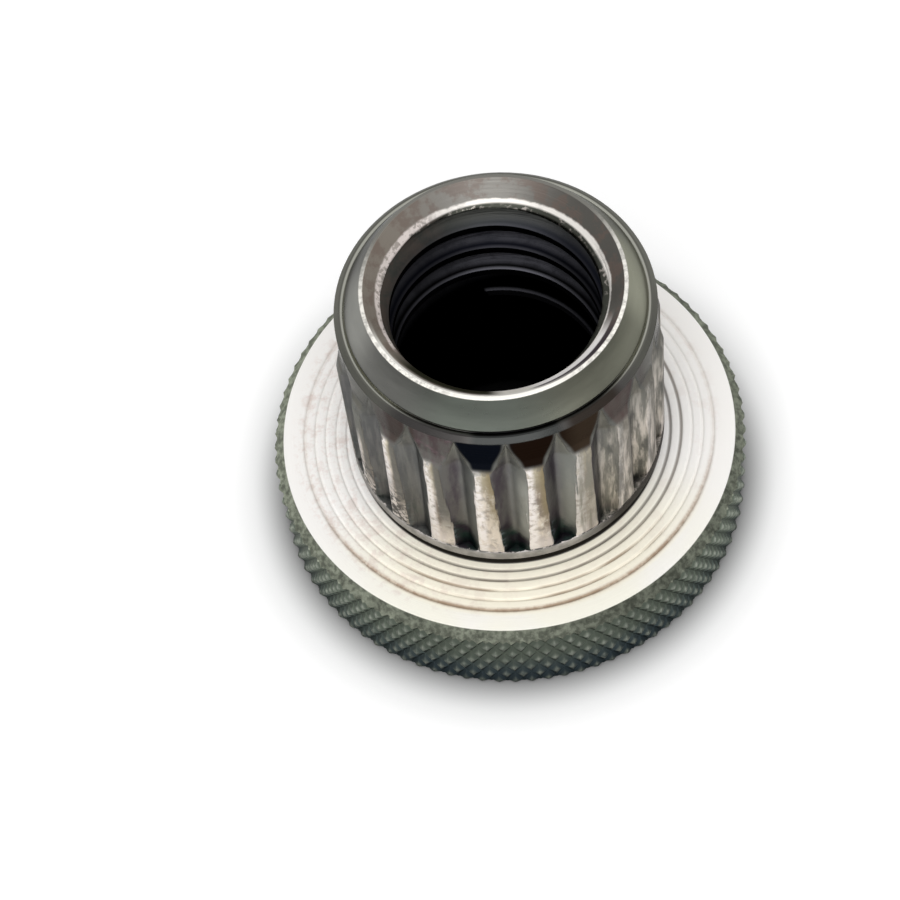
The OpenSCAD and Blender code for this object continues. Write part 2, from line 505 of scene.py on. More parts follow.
def add_hole(skin, shape, last):
    """The tapped hole: level rows near both ends, and rows that follow the helix between them."""
    turns = shape.round_turns
    count = len(turns)
    rows = shape.THREAD_ROWS
    bottom, top = shape.END_H, shape.rim_z - shape.END_H
    levels = math.ceil(shape.END_H / shape.END_STEP)
    for z in np.linspace(shape.rim_z, top, levels)[1:]:
        ring = skin.ring(turns, shape.hole_r(turns, z), z)
        skin.strip(last, ring)
        last = ring
    first = math.floor(bottom / shape.thread_pitch * rows)
    total = math.ceil((top / shape.thread_pitch + 1) * rows) + 1
    grid = []
    for k in range(first, total + 1):
        z = np.clip(shape.thread_pitch * (k / rows + turns / TAU - 1), bottom, top)
        grid.append(skin.ring(turns, shape.hole_r(turns, z), z))
    end = len(grid) - 1
    for k in range(end):
        for i in range(count - 1):
            skin.face(grid[k][i], grid[k + 1][i], grid[k + 1][i + 1], grid[k][i + 1])
        # The last column joins the first one a whole turn higher
        here, above = min(k + rows, end), min(k + rows + 1, end)
        skin.face(grid[k][-1], grid[k + 1][-1], grid[above][0], grid[here][0])
    last = grid[0]
    for z in np.linspace(bottom, 0, levels)[1:]:
        ring = skin.ring(turns, shape.hole_r(turns, z) if z else shape.underside_sink_r, z)
        skin.strip(last, ring)
        last = ring


def build_insert(shape):
    """The whole insert as one closed mesh."""
    skin = Skin()
    turns = shape.round_turns
    sink_r = shape.underside_sink_r
    start = skin.ring(turns, sink_r, 0)
    under_path = [(sink_r + shape.NEAR_SINK, 0), (shape.flange_r - shape.lower_bevel - shape.NEAR_KNURL, 0)]
    under = add_path(skin, shape, under_path, start, turns)
    edge, edge_turns = add_knurl(skin, shape, under)
    foot = add_path(skin, shape, face_path(shape), edge, edge_turns)
    shoulder, shoulder_turns = add_barrel(skin, shape, foot, turns)
    rim = add_path(skin, shape, nose_path(shape), shoulder, shoulder_turns)
    add_hole(skin, shape, rim)
    return skin.mesh("insert_metal", crease=math.radians(32))


# Materials: shader maths as Python expressions

def operator(operation, swapped=False):
    """A method that adds a Math node."""
    def method(self, *other):
        values = (*other, self) if swapped else (self, *other)
        return self.paint.maths(operation, *values)
    return method


class Signal:
    """A socket's value. Operators on it add Math nodes."""

    def __init__(self, paint, socket):
        self.paint = paint
        self.socket = socket

    __add__ = operator("ADD")
    __radd__ = operator("ADD", swapped=True)
    __sub__ = operator("SUBTRACT")
    __rsub__ = operator("SUBTRACT", swapped=True)
    __mul__ = operator("MULTIPLY")
    __rmul__ = operator("MULTIPLY", swapped=True)
    __mod__ = operator("FLOORED_MODULO")
    __rmod__ = operator("FLOORED_MODULO", swapped=True)
    __pow__ = operator("POWER")
    __rpow__ = operator("POWER", swapped=True)
    __abs__ = operator("ABSOLUTE")
    low = operator("MINIMUM")
    high = operator("MAXIMUM")

    def ramp(self, start, end, low=0.0, high=1.0):
        """A smooth rise from low to high as the value goes from start to end."""
        settings = {"interpolation_type": "SMOOTHSTEP"}
        inputs = {"Value": self, "From Min": start, "From Max": end, "To Min": low, "To Max": high}
        return self.paint.node("ShaderNodeMapRange", settings, inputs)

    def between(self, start, end, soft):
        """1 between two values, 0 outside, with soft edges."""
        return self.ramp(start - soft, start + soft) * self.ramp(end + soft, end - soft)


class Paint:
    """A node tree, and the nodes that it is made of."""

    def __init__(self, owner):
        owner.use_nodes = True
        self.tree = owner.node_tree
        self.tree.nodes.clear()

    def node(self, kind, settings=None, inputs=None, out=0):
        """Any node: its type, then its settings, then the values or links of its sockets."""
        node = self.tree.nodes.new(kind)
        for key, value in (settings or {}).items():
            setattr(node, key, value)
        for key, value in (inputs or {}).items():
            self.feed(node.inputs[key], value)
        return Signal(self, node.outputs[out]) if node.outputs else None

    def feed(self, socket, value):
        """Links a socket to a signal, or sets it to a value."""
        if isinstance(value, Signal):
            self.tree.links.new(value.socket, socket)
        elif socket.type == "RGBA" and len(value) == 3:
            socket.default_value = (*value, 1.0)
        else:
            socket.default_value = value

    def maths(self, operation, *values):
        """A Math node on signals and numbers."""
        return self.node("ShaderNodeMath", {"operation": operation}, dict(enumerate(values)))

    def mix(self, share, first, second):
        """A colour between two others."""
        settings = {"data_type": "RGBA", "blend_type": "MIX", "clamp_factor": True}
        return self.node("ShaderNodeMix", settings, {0: share, 6: first, 7: second}, out=2)

    def layers(self, base, *marks):
        """A colour with marks laid over it in turn, each a mask and the mark's colour."""
        for mask, tint in marks:
            base = self.mix(mask, base, tint)
        return base

    def scaled(self, vector, amount):
        """A vector or a colour times a value."""
        return self.node("ShaderNodeVectorMath", {"operation": "SCALE"}, {0: vector, "Scale": amount})

    def noise(self, vector, scale, detail=2.0, roughness=0.5):
        """Fractal noise, from 0 to 1, at a vector in millimetres."""
        inputs = {"Vector": vector, "Scale": scale, "Detail": detail, "Roughness": roughness}
        return self.node("ShaderNodeTexNoise", {"noise_dimensions": "3D"}, inputs)

    def vector(self, x, y, z):
        return self.node("ShaderNodeCombineXYZ", None, {"X": x, "Y": y, "Z": z})

    def parts(self, vector):
        """The three parts of a vector."""
        return [self.node("ShaderNodeSeparateXYZ", None, {0: vector}, out=k) for k in range(3)]

    def bump(self, height, strength, depth, under=None):
        """A bump of that depth in millimetres, laid over another."""
        inputs = {"Strength": strength, "Distance": depth * MM, "Height": height}
        if under:
            inputs["Normal"] = under
        return self.node("ShaderNodeBump", None, inputs)


class MetalFinish(Paint):
    """One bright metal whose colour, gloss and marks change from zone to zone, with light and shade painted
    into its colour.
    """

    # The turn about the axis from which the painted light and shade are laid out: the side where the lead
    # carries a painted dark reflection
    BURNISHED_TURN = math.radians(-95)

    def __init__(self, material, finish, shape):
        super().__init__(material)
        self.finish, self.shape = finish, shape
        self.spot = self.scaled(self.node("ShaderNodeTexCoord", out=3), 1 / MM)
        x, y, self.z = self.parts(self.spot)
        self.r = (x * x + y * y) ** 0.5
        self.up = self.z - shape.flange_h
        self.below = shape.rim_z - self.z
        # Noise that runs with the tool: rings round the axis, and streaks along it
        along = self.r + self.z
        self.fine_rings = self.noise(self.vector(x * 0.06, y * 0.06, along), 9, 2, 0.6)
        self.rings = self.noise(self.vector(x * 0.12, y * 0.12, along), 2.6, 3, 0.6)
        self.arcs = self.noise(self.vector(x * 0.3, y * 0.3, self.r * 1.3), 1.6, 2, 0.5)
        self.streaks = self.noise(self.vector(x, y, self.z * 0.22), 2.2, 4, 0.65)
        self.scratch = self.noise(self.vector(x, y, self.z * 0.1), 6, 3, 0.6)
        # Noise that runs all ways
        self.mottle = self.noise(self.spot, 1.6, 4, 0.65)
        self.stain = self.noise(self.spot, 0.32, 2, 0.5)
        self.speck = self.noise(self.spot, 5, 3, 0.6)
        # Two directions about the axis, from -1 to 1: towards the side of the lead's painted dark
        # reflection, and to the right of it. Most of the painted light and shade is laid out by them
        turn = self.maths("ARCTAN2", y, x)
        around = turn - self.BURNISHED_TURN
        self.front = self.maths("COSINE", around)
        self.side = self.maths("SINE", around)
        # Turn from the middle of the nearest groove and of the nearest land
        pitch = shape.pitch_turn
        self.from_groove = turn % pitch - pitch / 2
        self.from_land = (turn + pitch / 2) % pitch - pitch / 2
        self.zones = self.find_zones()

    def find_zones(self):
        """Masks from 0 to 1, one for each zone of the section."""
        shape, r, z, up = self.shape, self.r, self.z, self.up
        outside = r.ramp(shape.mouth_r - 0.01, shape.mouth_r + 0.03)
        barrel = up.ramp(0.02, 0.06) * outside
        depth = z.ramp(shape.crest_z, shape.lead_z, shape.crest_r, shape.lead_r) - r
        burr = (self.scratch - 0.45).high(0) * z.ramp(shape.crest_z - 0.4, shape.lead_z, 0.3, 0)
        lands = barrel * (depth - burr).ramp(0.03, 0.008)
        lead_edge = (shape.crest_z + shape.lead_z) / 2
        notch = r.ramp(shape.nose_r + 0.08, shape.nose_r + 0.04) * outside
        relief_r = shape.crest_r - shape.relief_depth
        relief = up.ramp(shape.relief_w + 0.02, shape.relief_w - 0.04) * outside
        flange_edge = r.ramp(shape.flange_r - 0.5, shape.flange_r - 0.39)
        edge = z.ramp(shape.flange_h, shape.flange_h - 0.03) * flange_edge
        # The painted highlight on the edge in the mouth has an uneven top
        ring_z = shape.rim_z - shape.ring_drop
        ring_r = shape.mouth_r - shape.ring_drop
        over = z - shape.rim_z + shape.ring_drop
        top = self.front.ramp(-0.9, -0.3, 0.03, 0.09) + (self.mottle - 0.5) * 0.12
        top = top + self.side.ramp(-0.2, -0.7, 0, 0.06)
        ring = (over - top).ramp(0.03, -0.03) * over.ramp(-0.1, -0.04)
        return {
            "barrel": barrel,
            "face": (1 - barrel) * outside * (1 - edge),
            "crest": lands * z.ramp(lead_edge + 0.1, lead_edge - 0.2),
            "lead": lands * z.ramp(lead_edge - 0.2, lead_edge + 0.1),
            "shoulder": z.ramp(shape.lands_end_z - 0.03, shape.lands_end_z + 0.02) * outside,
            "nose": z.ramp(shape.shoulder_z, shape.shoulder_z + 0.05) * outside,
            "notch": z.between(shape.shoulder_z - 0.08, shape.shoulder_z + 0.02, 0.015) * notch,
            "rim": z.ramp(shape.rim_z - 0.035, shape.rim_z - 0.01),
            "collar": barrel * z.ramp(shape.shelf_z + 0.02, shape.shelf_z - 0.02) * (
                r.ramp(shape.crest_r - 0.06, shape.crest_r - 0.03)
            ),
            "relief": relief * r.ramp(relief_r + 0.07, relief_r + 0.01),
            "edge": edge,
            "peak": r.ramp(shape.flange_r - 0.09, shape.flange_r - 0.01),
            "hole": 1 - outside,
            "sink": z.ramp(ring_z - 0.03, ring_z + 0.03),
            "ring": ring * r.between(ring_r - 0.16, ring_r + 0.3, 0.03),
        }

    def face_colour(self):
        """The flange's face: cream, finely ringed, with brown marks and painted shade in its turned grooves.
        """
        shape, r = self.shape, self.r
        ahead = self.front.ramp(0.3, 0.95)
        warm = self.layers(
            self.finish.face,
            (ahead * self.stain.ramp(0.3, 0.6), (0.99, 0.97, 0.86)),
            (r.ramp(7.15, 6.95) * ahead, (0.99, 0.94, 0.79)),
        )
        ringed_tone = (self.rings + r.ramp(7, 7.2, 0, 0.3)).ramp(0.3, 0.6, 0.97, 1)
        blotch = self.mottle.ramp(0.5, 0.66) * self.side.ramp(0, -0.8, 0.35, 1) * r.ramp(7.3, 6.9)
        grain = self.speck.ramp(0.48, 0.68) * self.side.ramp(-0.1, -0.7) * r.ramp(7.4, 7.1)
        # The turned rings carry brown marks with painted shade, most of it ahead and near the barrel, fading
        # to the sides
        first, step = shape.ring_first_r, shape.ring_step
        start, last = first - step / 2, first + (shape.ring_count - 1) * step
        from_ring = abs((r - start) % step - step / 2)
        ringed = r.between(first - 0.15, last + 0.15, 0.04) * self.up.between(-0.1, 0.1, 0.02)
        marks_and_light_share = self.arcs.ramp(0.38, 0.62, 0.15, 1) * abs(self.side).ramp(0.5, 0.8, 1, 0.08)
        marks_and_light_share = marks_and_light_share.high(r.ramp(start + 0.6, start + 0.8, 0.85, 0) * self.side.ramp(-0.9, -0.5))
        ring_marks_and_shade = from_ring.ramp(0.085, 0.015) * ringed * marks_and_light_share
        ring_marks_and_shade_tone = self.mix(r.ramp(first + 0.2, first + 0.8), (0.1, 0.085, 0.07), (0.34, 0.25, 0.17))
        # The outermost ring is browned too, with painted shade, most of it ahead
        outer = r.between(last - 0.07, last + 0.07, 0.07) * self.front.ramp(0.1, 0.8, 0.2, 0.95)
        return self.layers(
            self.scaled(warm, ringed_tone),
            (blotch * 0.4, (0.7, 0.56, 0.5)),
            (grain * 0.35, (0.8, 0.68, 0.63)),
            (outer * self.speck.ramp(0.35, 0.6, 0.65, 1), (0.36, 0.25, 0.18)),
            (ring_marks_and_shade * 0.85, ring_marks_and_shade_tone),
        )

    def groove_colour(self):
        """A groove: its left flank painted duller than the right as shade, a painted highlight on the right
        flank, and painted shade pooled at its foot with painted glints.
        """
        across, streaks = self.from_groove, self.streaks
        painted_dull = self.mix(streaks.ramp(0.35, 0.65), (0.085, 0.072, 0.085), (0.15, 0.145, 0.14))
        light = self.mix(streaks.ramp(0.35, 0.65), (0.22, 0.23, 0.22), self.finish.groove)
        # A painted highlight down the right flank
        lens = self.up.between(1.9, 5.2, 0.7) * across.ramp(0.02, 0.07)
        lens = lens * (0.3 + 0.7 * self.side.between(-0.2, 0.1, 0.05))
        # Painted shade pooled at the groove's foot, reaching higher on the left flank, with painted glints
        # in it
        limit = across.ramp(-0.1, 0.1, 2.6, 1.5) + (self.mottle - 0.5) * 1.2
        foot_shade = (limit - self.up).ramp(-0.25, 0.45) * streaks.ramp(0.25, 0.6, 0.7, 1)
        glints = self.speck.ramp(0.5, 0.62) * across.ramp(-0.04, -0.09)
        teal = self.mix(self.mottle.ramp(0.4, 0.6), (0.02, 0.04, 0.034), (0.034, 0.027, 0.036))
        tip = self.z.ramp(self.shape.crest_z - 0.4, self.shape.lands_end_z)
        return self.layers(
            self.mix(across.ramp(-0.04, 0.06), painted_dull, light),
            (lens * streaks.ramp(0.3, 0.6, 0.4, 0.9), (0.42, 0.43, 0.41)),
            (foot_shade, self.mix(glints, teal, (0.17, 0.21, 0.24))),
            (tip * 0.8, (0.27, 0.275, 0.25)),
        )

    def crest_colour(self):
        """The crests: mottled cream with a painted bright sheen low down and ahead, painted duller to the
        sides, grey above.
        """
        across, side, up = self.from_land, self.side, self.up
        streaks, scratch, speck = self.streaks, self.scratch, self.speck
        brown = across.ramp(0, 0.045) * up.ramp(2, 4) * streaks.ramp(0.3, 0.55, 0.4, 0.9)
        # A painted highlight along each crest's left edge
        edge = across.ramp(0.005, -0.03) * speck.ramp(0.35, 0.55, 0.3, 0.9)
        # Painted shade on the crests: duller on the right side, greyer further round it, and on the left
        # shaded on their right half
        painted_dull = side.ramp(0.2, 0.3) * across.ramp(-0.05, -0.02)
        shaded_right = side.between(0.27, 0.52, 0.04) * up.ramp(0.6, 2)
        shaded = side.ramp(-0.3, -0.45) * across.ramp(-0.01, 0.02) * up.ramp(1, 3.2)
        speckled = side.ramp(-0.5, -0.75) * up.ramp(4, 2.2)
        bright = self.layers(
            self.finish.crest,
            (streaks.ramp(0.4, 0.62), (0.3, 0.24, 0.19)),
            (speck.ramp(0.55, 0.72, 0, 0.7), (0.9, 0.87, 0.8)),
            (self.mottle.ramp(0.5, 0.66, 0, 0.65), (0.17, 0.135, 0.105)),
            (up.ramp(4.2, 5.6) * 0.5, (0.55, 0.5, 0.34)),
            (brown, (0.28, 0.225, 0.13)),
            # A painted pale sheen low down on the crests
            (up.ramp(2.6, 1) * streaks.ramp(0.3, 0.6) * 0.7, (0.93, 0.86, 0.83)),
            (edge, (0.95, 0.9, 0.87)),
            (painted_dull * scratch.ramp(0.3, 0.6, 0.9, 0.3), (0.26, 0.23, 0.195)),
            (shaded_right * scratch.ramp(0.35, 0.6, 0.9, 0.45), (0.27, 0.255, 0.21)),
            (shaded * 0.9, (0.14, 0.135, 0.12)),
            (speckled * speck.ramp(0.42, 0.56), (0.1, 0.095, 0.085)),
        )
        # Painted sheen: the crests' bright colour reaches higher ahead, with plain grey above it
        top = self.front.ramp(0.25, 0.6, 2.8, 6.8)
        marks_and_light_share = (top - up + (self.mottle - 0.5) * 3).ramp(-0.8, 0.8)
        return self.mix(marks_and_light_share, (0.15, 0.15, 0.13), bright)

    def barrel_colour(self):
        """The face, the grooves and the crests. Round the sides the flutes' painted light and shade give way
        to plainer tones, painted lighter low down on the right.
        """
        zones, scratch = self.zones, self.scratch
        olive = self.mix(self.streaks.ramp(0.35, 0.65), (0.1, 0.095, 0.085), (0.15, 0.15, 0.13))
        pale = self.mix(scratch.ramp(0.4, 0.62), (0.22, 0.205, 0.18), (0.66, 0.6, 0.54))
        lower = self.up.ramp(7, 3.6, 0.15, 1) * self.streaks.ramp(0.36, 0.56)
        left = self.mix(scratch.ramp(0.4, 0.62), (0.12, 0.125, 0.12), (0.19, 0.19, 0.18))
        return self.layers(
            self.face_colour(),
            (zones["barrel"], self.groove_colour()),
            (zones["crest"], self.crest_colour()),
            # Painted light and shade round the sides: olive and paler low down on the right, grey on the
            # left
            (self.side.ramp(0.42, 0.62) * zones["barrel"] * 0.8, self.mix(lower, olive, pale)),
            (self.side.ramp(-0.4, -0.6) * (1 - zones["crest"]) * zones["barrel"] * 0.7, left),
        )

    def lead_colour(self):
        """The plain lead: a painted dark reflection on one side, satin grey round the rest."""
        side = self.side
        dark = self.mix(side.ramp(-0.12, 0), (0.004, 0.005, 0.008), self.finish.lead)
        dark = self.mix(side.ramp(0.22, 0.4), dark, (0.035, 0.024, 0.016))
        spots = self.mottle.ramp(0.5, 0.65) * side.between(-0.6, -0.38, 0.04)
        grey = self.layers(
            self.mix(self.streaks.ramp(0.35, 0.65), (0.085, 0.062, 0.064), (0.13, 0.125, 0.115)),
            (side.between(-0.76, -0.6, 0.02) * 0.8, (0.06, 0.044, 0.038)),
            (side.between(0.52, 0.74, 0.02) * 0.6, (0.085, 0.062, 0.054)),
            (abs(side).ramp(0.74, 0.88) * 0.8, (0.145, 0.143, 0.122)),
            (spots * 0.5, (0.22, 0.14, 0.16)),
        )
        tone = self.mix(side.between(-0.38, 0.53, 0.02) * self.front.ramp(0, 0.1), grey, dark)
        # Each land's end is a painted dark reflection: a dark triangle, point down, between the grey tips of
        # the grooves
        reach = self.z.ramp(self.shape.crest_z - 0.1, self.shape.lands_end_z, 0.045, 0.14)
        beside = abs(self.from_land) - reach + (self.stain - 0.5) * 0.06
        return self.mix(beside.ramp(-0.014, 0.014), tone, (0.12, 0.12, 0.11))

    def collar_colour(self):
        """The plain collar below the splines, painted dark with shade on the right."""
        collar = self.mix(self.mottle.ramp(0.4, 0.6), (0.42, 0.4, 0.38), (0.3, 0.29, 0.27))
        return self.mix(self.side.ramp(0.3, 0.62), collar, (0.05, 0.045, 0.04))

    def shoulder_colour(self):
        """The flat at the shoulder: painted shade above the lead's painted dark reflection and to the sides,
        painted lighter behind.
        """
        return self.layers(
            (0.115, 0.11, 0.105),
            (self.side.between(-0.28, 0.28, 0.04), (0.065, 0.068, 0.066)),
            (self.side.between(0.33, 0.66, 0.04), (0.055, 0.045, 0.038)),
            (self.side.between(-0.75, -0.3, 0.05), (0.072, 0.068, 0.066)),
            (self.front.ramp(0.75, 0.55), (0.155, 0.155, 0.135)),
        )

    def nose_colour(self):
        """The satin cone, ringed, with painted shade half way round to each side and painted lighter at the
        far sides.
        """
        sideways = abs(self.side)
        nose = self.mix(self.side.ramp(-0.1, 0.5), (0.165, 0.183, 0.158), self.finish.nose)
        nose = self.mix(self.side.ramp(-0.4, -0.8), nose, (0.172, 0.172, 0.16))
        tone = self.rings.ramp(0.3, 0.65, 0.88, 1.05) + sideways.ramp(0.9, 1, 0, 0.6)
        return self.scaled(nose, tone - sideways.between(0.5, 0.93, 0.15) * 0.22)

    def notch_colour(self):
        """The fine notch at the nose's foot: painted black as shade ahead, painted light round the rest."""
        ahead = self.side.between(-0.28, 0.28, 0.04)
        black = ahead.high(self.side.ramp(0.2, 0.4) * 0.5)
        gap = self.mix(black, (0.1, 0.098, 0.09), (0.012, 0.012, 0.012))
        return self.mix(self.front.ramp(0.85, 0.6), gap, (0.5, 0.5, 0.44))

    def rim_colour(self):
        """The rim: a painted bright highlight, specked to the sides, and grey behind."""
        tone = self.speck.ramp(0.35, 0.6, 0.6, 1).high(self.front.ramp(0.75, 0.95))
        rim = self.scaled((0.98, 0.95, 0.88), tone)
        return self.mix(self.front.ramp(0, -0.6), rim, (0.2, 0.195, 0.175))

    def knurl_colour(self):
        """The knurl, bluer low down, pale on its peaks and painted lighter to the sides, and the bevel above
        it with a painted sheen.
        """
        side, speck = self.side, self.speck
        sideways = abs(side)
        blue = self.up.ramp(-1.2, -2.8) * sideways.ramp(0.4, 0.9, 1, 0.4)
        knurl = self.layers(
            self.finish.knurl,
            (blue, (0.04, 0.055, 0.062)),
            (self.zones["peak"] * speck.ramp(0.35, 0.65, 0.3, 1), (0.25, 0.27, 0.23)),
        )
        # Painted light: the knurl is painted lighter to the sides, and the bevel carries a painted sheen
        knurl = self.scaled(knurl, sideways.ramp(0.4, 0.9, 1, 1.4))
        shine = side.ramp(-0.8, 0.6, 1.1, 0.8) * sideways.ramp(0.35, 0.95, 1, 1.6)
        shine = shine * self.mottle.ramp(0.3, 0.7, 0.75, 1.15) * speck.ramp(0.35, 0.65, 0.6, 1.3)
        return self.mix(self.up.ramp(-0.42, -0.36), knurl, self.scaled((0.165, 0.178, 0.14), shine))

    def thread_colour(self):
        """The thread: dark flanks with thin painted highlights on the crests, painted light and glints near
        the top, and painted shade that darkens it as it goes down.
        """
        below, bore_r = self.below, self.shape.bore_r
        crest = self.r.ramp(bore_r + 0.12, bore_r + 0.02)
        dim = below.ramp(3.4, 4, 0.35, 1) * below.ramp(4.7, 5.3, 1, 0.6)
        dim = dim * (below - self.side.ramp(-0.12, 0.08, 0, 1.2)).ramp(5.05, 4.8)
        # A faint painted light on the flanks' outer part
        outer = self.r.ramp(bore_r + 0.1, bore_r + 0.3) * below.ramp(5.2, 4.8)
        lit = below.ramp(1.9, 0.9)
        glint = below.between(0.55, 1, 0.1) * self.speck.ramp(0.52, 0.64) * self.stain.ramp(0.4, 0.6)
        brown = lit * self.side.ramp(-0.25, -0.6) * self.mottle.ramp(0.35, 0.6)
        return self.layers(
            self.finish.thread,
            # Painted shade: deep down the thread is painted black
            (below.ramp(1.2, 3.6), (0, 0, 0)),
            (outer * self.mottle.ramp(0.3, 0.6, 0.5, 1), (0.024, 0.024, 0.028)),
            (crest * dim, (0.045, 0.045, 0.052)),
            (lit * 0.8, (0.085, 0.088, 0.072)),
            (glint, (0.5, 0.46, 0.42)),
            (brown * 0.8, (0.095, 0.07, 0.06)),
        )

    def sink_colour(self):
        """The countersink: brown-grey, painted lighter ahead and on the left and darker on the right, with
        painted highlights on a lip and a double line.
        """
        below, side, front = self.below, self.side, self.front
        drop = self.shape.ring_drop
        olive = side.between(-0.85, -0.1, 0.1) * front.ramp(0.2, 0.5)
        double = side.between(0.2, 0.86, 0.08) * front.ramp(0.15, 0.4)
        line = below.ramp(drop * 0.34, drop * 0.46)
        lip = below.ramp(0.14, 0.06) * front.ramp(0.1, 0.5) * side.ramp(0.7, 0)
        return self.layers(
            self.finish.sink,
            # Painted light and shade: darker to the right, lighter to the left
            (side.ramp(0.1, 0.8), (0.1, 0.095, 0.085)),
            (side.ramp(-0.2, -0.9), (0.25, 0.22, 0.185)),
            (self.mottle.ramp(0.45, 0.6) * 0.5, (0.16, 0.11, 0.09)),
            (olive * below.ramp(drop * 0.25, drop * 0.5), (0.02, 0.02, 0.01)),
            (side.between(-0.1, 0.25, 0.08) * front.ramp(0, 0.5), (0.8, 0.77, 0.7)),
            (double, self.mix(line, (0.06, 0.048, 0.055), (0.97, 0.94, 0.92))),
            (lip, (0.95, 0.93, 0.87)),
        )

    def hole_colour(self):
        """The thread, the countersink and the painted highlight on the edge between them."""
        left = self.side.ramp(-0.3, -0.6)
        # The painted highlight on the edge in the mouth, broken up on the left and dimmed ahead on the left
        shine = self.zones["ring"] * self.mottle.ramp(0.3, 0.5, 0.75, 1)
        shine = shine * (1 - left * self.speck.ramp(0.38, 0.52, 0.65, 0))
        shine = shine * (1 - self.front.ramp(0.35, 0.5) * self.side.ramp(0, -0.2))
        hole = self.mix(self.zones["sink"], self.thread_colour(), self.sink_colour())
        return self.mix(shine, hole, self.mix(left, (0.92, 0.88, 0.83), (0.82, 0.74, 0.7)))

    def colour(self):
        """The colour of every zone, laid one over another."""
        zones = self.zones
        return self.layers(
            self.barrel_colour(),
            (zones["lead"], self.lead_colour()),
            (zones["collar"], self.collar_colour()),
            # The relief groove at the barrel's foot is painted near black as shade
            (zones["relief"], (0.02, 0.018, 0.016)),
            (zones["shoulder"], self.shoulder_colour()),
            (zones["nose"], self.nose_colour()),
            (zones["notch"], self.notch_colour()),
            (zones["rim"], self.rim_colour()),
            (zones["edge"], self.knurl_colour()),
            (zones["hole"], self.hole_colour()),
        )

    def metallic(self):
        """Lower where the metal scatters light too: on the face, the crests, the rim and the mouth."""
        zones = self.zones
        mouth = zones["hole"] * zones["sink"].high(zones["ring"])
        satin = self.front.ramp(0.2, 0.4, 0.65, 1)
        return 1 - 0.9 * zones["face"] - 0.35 * zones["crest"] - satin * mouth.high(zones["rim"])

    def roughness(self):
        """Satin, glossier on the lead and the rim, dull deep in the hole."""
        zones = self.zones
        rough = 0.36 + 0.14 * (self.mottle - 0.5) + 0.1 * (self.fine_rings - 0.5) + 0.14 * zones["face"]
        rough = rough + 0.12 * zones["crest"] - 0.16 * zones["lead"] - 0.06 * zones["shoulder"]
        deep = self.below.ramp(4.5, 6.5) * zones["hole"]
        return rough + 0.06 * zones["edge"] - 0.08 * zones["rim"] + 0.4 * deep

    def normal(self):
        """Tool rings everywhere, pits and burrs on the crests."""
        rings = self.bump(self.fine_rings + self.rings * 0.6, 0.3, 0.02)
        rough_crests = (self.streaks + self.speck * 0.5) * self.zones["crest"]
        return self.bump(rough_crests, 0.6, 0.05, rings)


def metal_material(finish, shape):
    """The insert's one material."""
    material = bpy.data.materials.new("turned_metal")
    metal = MetalFinish(material, finish, shape)
    shader = metal.node("ShaderNodeBsdfPrincipled", None, {
        "Base Color": metal.colour(), "Metallic": metal.metallic(), "Roughness": metal.roughness(),
        "Normal": metal.normal(), "Specular Tint": (0.5, 0.5, 0.5)
    })
    metal.node("ShaderNodeOutputMaterial", None, {"Surface": shader})
    return material


# The stage, in metres and watts: the camera's frame in pixels and its sensor in millimetres
FRAME_PX = 900
SENSOR_W = 36
VIEW_END = 10
FLOOR_HALF = 2
# Distances from the axis over which the floor's painted shadow round the insert fades out, and over which
# the floor starts being lifted
FLOOR_DARK = (0.007, 0.0092)
FLOOR_LIFT = (0.0082, 0.0105)
KEY_PLACE = (-0.08, -0.28, 0.46)
KEY_SIZE = 0.5
KEY_POWER = 1.75


def floor_material(tint, glow):
    """A pale floor that keeps its shadows, lifted to white where it is seen, with a painted dark shadow
    under and round the insert.
    """
    material = bpy.data.materials.new("pale_floor")
    paint = Paint(material)
    rays = ("Is Camera Ray", "Is Glossy Ray", "Is Transmission Ray")
    seen = sum(paint.node("ShaderNodeLightPath", out=ray) for ray in rays)
    x, y, _ = paint.parts(paint.node("ShaderNodeTexCoord", out=3))
    out = (x * x + y * y) ** 0.5
    # A painted shadow: the floor is near black under the insert and just round it
    shade = paint.mix(out.ramp(*FLOOR_DARK), (0.01, 0.01, 0.01), tuple(tint))
    matt = paint.node("ShaderNodeBsdfDiffuse", None, {"Color": shade})
    strength = seen.low(1) * out.ramp(*FLOOR_LIFT) * glow
    lift = paint.node("ShaderNodeEmission", None, {"Color": (1, 1, 1), "Strength": strength})
    both = paint.node("ShaderNodeAddShader", None, {0: matt, 1: lift})
    paint.node("ShaderNodeOutputMaterial", None, {"Surface": both})
    return material


# Operators

class INSERT_OT_metal(bpy.types.Operator):
    """Make the insert: one turned, knurled, splined and tapped piece of metal"""
    bl_idname = "insert.metal"
    bl_label = "Insert"

    def execute(self, context):
        scene = context.scene
        shape = Shape(scene.insert_sizes)
        mesh = build_insert(shape)
        mesh.materials.append(metal_material(scene.insert_finish, shape))
        piece = bpy.data.objects.new("insert_metal", mesh)
        scene.collection.objects.link(piece)
        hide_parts(CAD_NODE)
        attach(piece, BODY)
        return {"FINISHED"}


def add_camera(scene, studio, face_z):
    """The camera, from where the flange's centre lies in the frame and how it is seen."""
    data = bpy.data.cameras.new("camera")
    data.sensor_width = SENSOR_W
    data.lens = studio.focal_px / FRAME_PX * SENSOR_W
    data.clip_start = MM
    data.clip_end = VIEW_END
    offset_x = (studio.target_x - FRAME_PX / 2) / studio.focal_px * studio.distance
    offset_y = (studio.target_y - FRAME_PX / 2) / studio.focal_px * studio.distance
    turn = Matrix.Rotation(studio.azimuth, 4, "Z")
    tilt = Matrix.Rotation(math.pi / 2 - studio.elevation, 4, "X")
    roll = Matrix.Rotation(studio.roll, 4, "Z")
    away = Matrix.Translation((-offset_x, offset_y, studio.distance))
    camera = bpy.data.objects.new("camera", data)
    camera.matrix_world = turn @ tilt @ roll @ away
    camera.location.z += face_z
    scene.collection.objects.link(camera)
    scene.camera = camera


